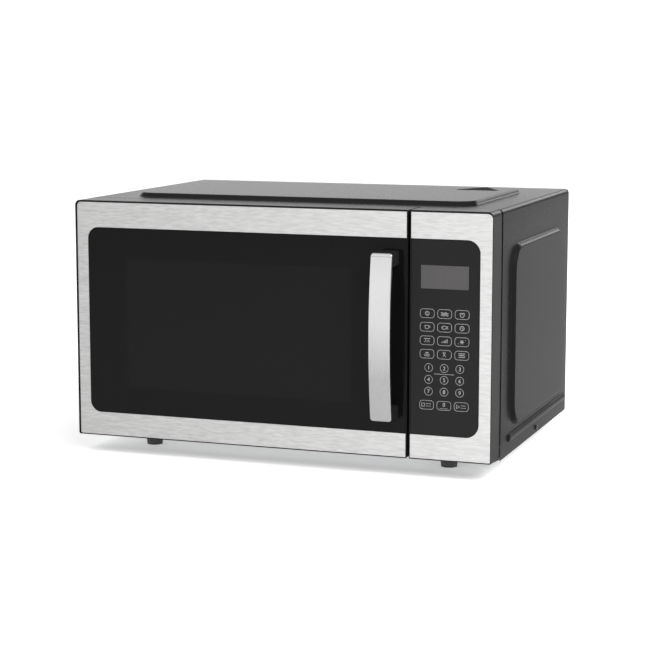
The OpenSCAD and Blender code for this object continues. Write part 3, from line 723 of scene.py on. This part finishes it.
def arc(centre, r, start, end, steps=12):
    """Points along an arc, its ends given in degrees."""
    turns = [math.radians(start + (end - start) * k / steps) for k in range(steps + 1)]
    return [(centre[0] + r * math.cos(t), centre[1] + r * math.sin(t)) for t in turns]


def waves(low, high, z, rise, count, steps=24):
    return [(low + (high - low) * k / steps, z + rise * math.sin(2 * math.pi * count * k / steps))
            for k in range(steps + 1)]


def star(r, arms):
    return [[(-r * math.cos(t), -r * math.sin(t)), (r * math.cos(t), r * math.sin(t))]
            for t in (math.pi * k / arms for k in range(arms))]


# Plain line pictures, each a list of (x, z) paths about the middle of its key, with dots as (x, z, r)
PICTURES = [
    ([arc((0, 0), 2.1, 0, 360, 24)], [(-0.8, 0.5, 0.3), (0.7, 0.8, 0.3), (0.2, -0.8, 0.3)]),
    ([waves(-4, 4, 1.1, 0.5, 2), waves(-4, 4, -0.3, 0.5, 2), waves(-4, 4, -1.7, 0.5, 2)], []),
    ([arc((-1.2, 0.6), 1.2, -30, 250), arc((1.3, 0.7), 1.2, -70, 210),
      [(-2.2, -0.6), (-1.4, -2.4), (1.4, -2.4), (2.2, -0.6)]], []),
    ([[(-2.6, 1.6), (-1.8, -2), (1.0, -2), (1.8, 1.6), (-2.6, 1.6)], arc((2.0, 0.1), 1.1, -70, 80)], []),
    ([[(-3.4, 0), (-1.6, 1.7), (1.4, 1.4), (3.8, -1.5)],
      [(-3.4, 0), (-1.6, -1.7), (1.4, -1.4), (3.8, 1.5)]], [(-1.8, 0.4, 0.3)]),
    ([arc((0, 0), 2.3, 0, 360, 24), [(0, 1.5), (0, 0), (1.2, -0.7)]], []),
    ([[(-3.6, 2), (3.6, 2)], [(-2.6, -2), (-1.3, 0.9), (0, -2), (1.3, 0.9), (2.6, -2)]], []),
    ([[(x, -2), (x, h)] for x, h in ((-3, -1), (-1.5, 0), (0, 0.8), (1.5, 1.5), (3, 2.2))], []),
    (star(2.4, 3), [(-3.9, -2, 0.3), (3.9, 2, 0.3)]),
    ([[(-2.6, -2.2), (2.6, -2.2), (2.6, -0.4), (-2.6, -0.4), (-2.6, -2.2)],
      waves(-1.8, 1.8, 1.2, 0.5, 1.5)], []),
    ([[(-1.6, 2.3), (1.6, 2.3), (-1.6, -2.3), (1.6, -2.3), (-1.6, 2.3)]], []),
    ([[(-3.6, 2.1), (3.6, 2.1)], waves(-3.4, 3.4, 0.2, 0.6, 3), [(-3.6, -1.9), (3.6, -1.9)]], []),
]


def dashes(low, high, z, length=0.9, pitch=1.5):
    """A row of short strokes, standing in for small lettering."""
    count = int((high - low + pitch - length) / pitch)
    return [[(low + pitch * k, z), (low + pitch * k + length, z)] for k in range(count)]


two_rows = dashes(-0.6, 6, 1.3) + dashes(-0.6, 6, -1.3)
STOP = [[(-5.6, -1.7), (-2.4, -1.7), (-2.4, 1.7), (-5.6, 1.7), (-5.6, -1.7)]] + two_rows, []
START = [[(-5.4, -2.1), (-1.9, 0), (-5.4, 2.1), (-5.4, -2.1)]] + two_rows, []
ZERO = dashes(-4.4, 4.6, -3.1), []


def digit(text, height):
    """The outline faces of one digit, as a list of polygons of (x, z) points about its middle."""
    curve = bpy.data.curves.new("digit", "FONT")
    curve.body = text
    # A digit is about 0.70 of the font's size tall
    curve.size = height / 0.70
    curve.resolution_u = 3
    writer = linked("digit", curve)
    mesh = writer.evaluated_get(bpy.context.evaluated_depsgraph_get()).to_mesh()
    xs, zs = [v.co.x for v in mesh.vertices], [v.co.y for v in mesh.vertices]
    shift = ((min(xs) + max(xs)) / 2, (min(zs) + max(zs)) / 2)
    polygons = [[(xs[i] - shift[0], zs[i] - shift[1]) for i in face.vertices] for face in mesh.polygons]
    bpy.data.objects.remove(writer)
    bpy.data.curves.remove(curve)
    return polygons


def key_print(node, picture=((), ()), text=None, lift=0.0):
    """The printed ring of a key with its picture, its digit or both, the digit raised by lift."""
    low, high = span(node)
    centre = ((low.x + high.x) / 2, (low.z + high.z) / 2)
    y = low.y - INK
    shape = Shape()
    if high.x - low.x > high.z - low.z + 1:
        path = outline([low.x + RING_INSET, low.z + RING_INSET], [high.x - RING_INSET, high.z - RING_INSET],
                       KEY_R - RING_INSET, 6)
    else:
        path = circle(centre, (high.x - low.x) / 2 - RING_INSET, 40)
    ribbon(shape, path, y, RING_LINE, closed=True)

    def placed(x, z):
        return centre[0] + x * PICTURE_SCALE, centre[1] + z * PICTURE_SCALE

    lines, dots = picture
    for line in lines:
        ribbon(shape, [placed(x, z) for x, z in line], y, PICTURE_LINE)
    for x, z, r in dots:
        disc(shape, placed(x, z), r * DOT_SCALE, y)
    if text:
        for polygon in digit(text, DIGIT_HEIGHT):
            shape.cap(shape.loop([(centre[0] + x, y, centre[1] + z + lift) for x, z in polygon]))
    piece_from(shape, node + "_print", key_ink, node_body[node])


for i, picture in enumerate(PICTURES):
    key_print(f"key_auto_{i + 1}", picture)
for number in range(1, 10):
    key_print(f"key_{number}", text=str(number))
key_print("key_0", ZERO, "0", 1.2)
key_print("key_stop", STOP)
key_print("key_start", START)


def keypad_rule():
    """A row of short printed dashes between the digits' first two rows."""
    two, five = span("key_2"), span("key_5")
    x = (two[0].x + two[1].x) / 2
    z = (two[0].z + five[1].z) / 2
    y = film_low.y - INK
    pitch, half_dash, width = 1.45, 0.45, 0.7
    shape = Shape()
    for k in range(-8, 9):
        ribbon(shape, [(x + pitch * k - half_dash, z), (x + pitch * k + half_dash, z)], y, width)
    piece_from(shape, "keypad_rule", key_ink, "cabinet")


keypad_rule()


def display():
    """The display's grey filter and, in nearly the same grey, the unlit segments of four figures."""
    low, high = DISPLAY
    inset, chamfer, corner = 0.06, 0.15, 0.8
    front, back = 1.22, 1.58
    shape = Shape()
    rings = []
    for s, y in ((inset + chamfer, front), (inset, front + chamfer), (inset, back)):
        ring = outline([low.x + s, low.z + s], [high.x - s, high.z - s], corner - s / 2, 5)
        rings.append([(x, y, z) for x, z in ring])
    shape.loft(rings)
    piece_from(shape, "display_filter", display_finish, "cabinet", sharp=50)

    shape = Shape()
    # Half a figure's width and height, how far it leans, and its segments on a grid from -1 to 1
    wide, tall, lean = 4.2, 7.0, 0.09
    segments = [((-1, 1), (1, 1)), ((-1, 0), (1, 0)), ((-1, -1), (1, -1)), ((-1, 0), (-1, 1)),
                ((1, 0), (1, 1)), ((-1, -1), (-1, 0)), ((1, -1), (1, 0))]
    bar_width, colon_r = 1.1, 0.8
    print_y = front - 0.02
    middle_x, middle_z = (low.x + high.x) / 2, (low.z + high.z) / 2

    def placed(u, v):
        return u * wide + v * tall * lean, middle_z + v * tall

    for figure_x in (-20.5, -8.5, 8.5, 20.5):
        for start, end in segments:
            line = []
            for share in (0.1, 0.9):
                x, z = placed(*[a + (b - a) * share for a, b in zip(start, end)])
                line.append((middle_x + figure_x + x, z))
            ribbon(shape, line, print_y, bar_width)
    for v in (-0.4, 0.4):
        x, z = placed(0, v)
        disc(shape, (middle_x + x, z), colon_r, print_y)
    piece_from(shape, "display_segments", segment_ink, "cabinet")


display()


def warning_pad():
    """A blank triangular sticker on the rear right of the top."""
    side, corner_r = 58.7, 2.5
    left, base = 147.8, 262.0
    corners = [(left, base), (left + side, base), (left + side / 2, base + side * math.sqrt(3) / 2)]
    centre = (left + side / 2, base + side / math.sqrt(12))
    shape = Shape()

    def rounded(share):
        points = []
        for x, y in corners:
            x, y = centre[0] + (x - centre[0]) * share, centre[1] + (y - centre[1]) * share
            out = Vector((x - centre[0], y - centre[1])).normalized()
            middle = (x - out.x * 2 * corner_r, y - out.y * 2 * corner_r)
            heading = math.degrees(math.atan2(out.y, out.x))
            points += arc(middle, corner_r, heading - 60, heading + 60, 8)
        return points

    z = cover_high.z
    steps = ((1, z), (1, z + 0.22), (0.985, z + 0.3))
    shape.loft([[(x, y, h) for x, y in rounded(share)] for share, h in steps])
    piece_from(shape, "blank_triangle", pad_finish, "cabinet", sharp=50)


warning_pad()


# ---- the door's perforated screen ----

# The pan's outline and that of its raised middle as (x, z) corners, their corner radii, and the middle's back
PAN_EDGE = (-246, 36), (140, 306)
PAN_MIDDLE = (-213, 66), (113, 278)
PAN_EDGE_R = 5
PAN_MIDDLE_R = 8
PAN_BACK = 37.0


def screen():
    """The raised middle of the door's pan, with its window punched full of round holes."""
    (left, bottom), (right, top) = (-205, 80), (100, 252)
    pitch, hole_r = 4.4, 1.35
    columns, rows = round((right - left) / pitch), round((top - bottom) / pitch)
    step_x, step_z = (right - left) / columns, (top - bottom) / rows
    faces_y = (PAN_BACK - SHEET, PAN_BACK)
    shape = Shape()
    corners = {}
    for y in faces_y:
        for i in range(columns + 1):
            for j in range(rows + 1):
                corners[i, j, y] = len(shape.points)
                shape.points.append((left + i * step_x, y, bottom + j * step_z))
    for i in range(columns):
        for j in range(rows):
            hole = circle((left + (i + 0.5) * step_x, bottom + (j + 0.5) * step_z), hole_r, 8)
            rims = []
            for y in faces_y:
                rim = shape.loop([(x, y, z) for x, z in hole])
                rims.append(rim)
                cell = [corners[a, b, y] for a, b in ((i + 1, j + 1), (i, j + 1), (i, j), (i + 1, j))]
                for k in range(4):
                    half_rim = (rim[(2 * k + 3) % 8], rim[(2 * k + 2) % 8], rim[2 * k + 1])
                    shape.faces.append((cell[k], cell[(k + 1) % 4], *half_rim))
            shape.bridge(*rims)
    edges_of_sheet = []
    for y in faces_y:
        loop = shape.loop([(x, y, z) for x, z in outline(*PAN_MIDDLE, PAN_MIDDLE_R, 8)])
        edges_of_sheet.append(loop)
        quarter = len(loop) // 4
        edges = ([corners[i, 0, y] for i in range(columns + 1)],
                 [corners[columns, j, y] for j in range(rows + 1)],
                 [corners[i, rows, y] for i in range(columns, -1, -1)],
                 [corners[0, j, y] for j in range(rows, -1, -1)])
        for k, edge in enumerate(edges):
            corner = loop[k * quarter:(k + 1) * quarter]
            after = loop[((k + 1) * quarter) % len(loop)]
            for a, b in zip(corner, corner[1:]):
                shape.faces.append((a, b, edge[0]))
            shape.faces.append((corner[-1], after, *reversed(edge)))
    shape.bridge(*edges_of_sheet)
    piece_from(shape, "door_screen", FINISHES["door_pan_paint"], "door")


def pan_walls():
    """The folded rest of the door's pan: its flange and the channel's two walls."""
    flange, top, rim = 24, PAN_BACK - SHEET, 39
    outside, inside = (*PAN_EDGE, PAN_EDGE_R), (*PAN_MIDDLE, PAN_MIDDLE_R)
    profile = [(*outside, 0, rim), (*outside, 0, flange), (*inside, SHEET, flange),
               (*inside, SHEET, top), (*inside, 0, top), (*inside, 0, flange + SHEET),
               (*outside, SHEET, flange + SHEET), (*outside, SHEET, rim)]
    shape = Shape()
    loops = []
    for low, high, r, inset, y in profile:
        ring = outline([v + inset for v in low], [v - inset for v in high], r - inset, 8)
        loops.append(shape.loop([(x, y, z) for x, z in ring]))
    for a, b in zip(loops, loops[1:] + loops[:1]):
        shape.bridge(a, b)
    piece_from(shape, "door_pan_walls", FINISHES["door_pan_paint"], "door",
               ["door_pan"], 0.3)


screen()
pan_walls()


# ---- the CAD shapes whose edges are rounded here ----

# Bevel in millimetres for each node; the keys follow in the frame's order
BEVELS = {
    "door_frame": 0.5, "control_housing": 0.5, "handle_posts": 0.8, "keypad_panel": 0.06, "choke_cover": 0.4,
    "base_plate": 0.25, "rear_panel": 0.25, "cord_gland": 0.5, "feet": 0.8, "case_screws": 0.3,
    "hinge_brackets": 0.3, "oven_cavity": 0.4, "waveguide_cover": 0.1, "grill_heater": 0.3,
    "turntable_coupler": 0.5, "roller_ring": 0.5, "roller_wheel_1": 0.5, "roller_wheel_2": 0.5,
    "roller_wheel_3": 0.5, "door_latch": 0.4, "interlock_housing": 0.4, "fan_blade": 0.3, "fan_motor": 0.4,
    "magnetron": 0.2, "transformer": 0.4, "hv_capacitor": 0.5, "turntable_motor": 0.4, "oven_lamp": 0.4,
    "control_board": 0.2, "glass_tray": 0.4,
}
BEVELS.update({node: 0.12 for node in frame["nodes"] if node.startswith("key_")})
for node, bevel in BEVELS.items():
    refined(node, bevel)


# ---- stage, light and camera ----

REACH = 40.0
floor_mesh = bpy.data.meshes.new("floor")
floor_corners = [(-REACH, -REACH, 0), (REACH, -REACH, 0), (REACH, REACH, 0), (-REACH, REACH, 0)]
floor_mesh.from_pydata(floor_corners, [], [(0, 1, 2, 3)])
floor = linked("floor", floor_mesh)
table_top = Finish("pale_floor").colour(grey(0.92)).roughness(0.9)
# The floor is a faintly lit table, so that no hard shadow lies under the oven
table_top.set(table_top.shader.inputs["Emission Color"], (1, 1, 1, 1))
table_top.set(table_top.shader.inputs["Emission Strength"], 0.34)
floor_mesh.materials.append(table_top.material)


def facing(direction):
    """The turn that points a lamp or a camera along a direction."""
    return direction.to_track_quat("-Z", "Y").to_euler()


def softbox(name, place, target, size, power):
    """An area light of the given power in watts; its places and sizes are in metres."""
    light = bpy.data.lights.new(name, "AREA")
    light.shape = "RECTANGLE"
    light.size, light.size_y = size
    light.energy = power
    lamp = linked(name, light)
    lamp.location = place
    lamp.rotation_euler = facing(Vector(target) - Vector(place))
    lamp.visible_camera = False


softbox("front_light", (1.5, -2.2, 1.6), (0.45, -1.2, 0.0), (1.2, 1.2), 22)
softbox("edge_light", (1.0, 3.9, 1.5), (0.2, 0.0, 0.3), (1.8, 1.0), 34)
softbox("side_light", (1.9, -0.6, 1.7), (0.45, 0.0, 0.0), (1.6, 1.6), 50)

# Its wide angle makes the sun a soft light from above
sun_data = bpy.data.lights.new("sun", "SUN")
sun_data.energy = 1.4
sun_data.angle = math.radians(110)
linked("sun", sun_data).rotation_euler = facing(Vector((0.1, 0.2, -1.2)))

# White surroundings that fade with height and from left to right
world = bpy.data.worlds.new("studio")
bpy.context.scene.world = world
world.use_nodes = True
sky = world.node_tree
direction = sky.nodes.new("ShaderNodeSeparateXYZ")
sky.links.new(sky.nodes.new("ShaderNodeTexCoord").outputs["Generated"], direction.inputs[0])
strength = sky.nodes.new("ShaderNodeMath")
strength.operation = "MULTIPLY"
for k, (axis, *limits) in enumerate((("Z", 0.06, 0.50, 1.02, 0.20), ("X", -0.35, 0.35, 2.0, 0.36))):
    fade = sky.nodes.new("ShaderNodeMapRange")
    fade.interpolation_type = "SMOOTHSTEP"
    sky.links.new(direction.outputs[axis], fade.inputs["Value"])
    for socket, value in zip(("From Min", "From Max", "To Min", "To Max"), limits):
        fade.inputs[socket].default_value = value
    sky.links.new(fade.outputs[0], strength.inputs[k])
sky.links.new(strength.outputs[0], sky.nodes["Background"].inputs["Strength"])
sky.nodes["Background"].inputs["Color"].default_value = (1, 1, 1, 1)

# The camera that was fitted to the photo: azimuth 20 degrees, elevation 8.3 degrees
camera_data = bpy.data.cameras.new("camera")
camera_data.lens = 105.5
camera_data.sensor_width = 36.0
camera_data.clip_end = 200
camera = linked("camera", camera_data)
camera.location = at(826.2, -2112.3, 506.9)
look_at = at(-13.6, 200.0, 149.8)
camera.rotation_euler = facing(look_at - camera.location)
bpy.context.scene.camera = camera
bpy.context.scene.view_settings.view_transform = "Standard"
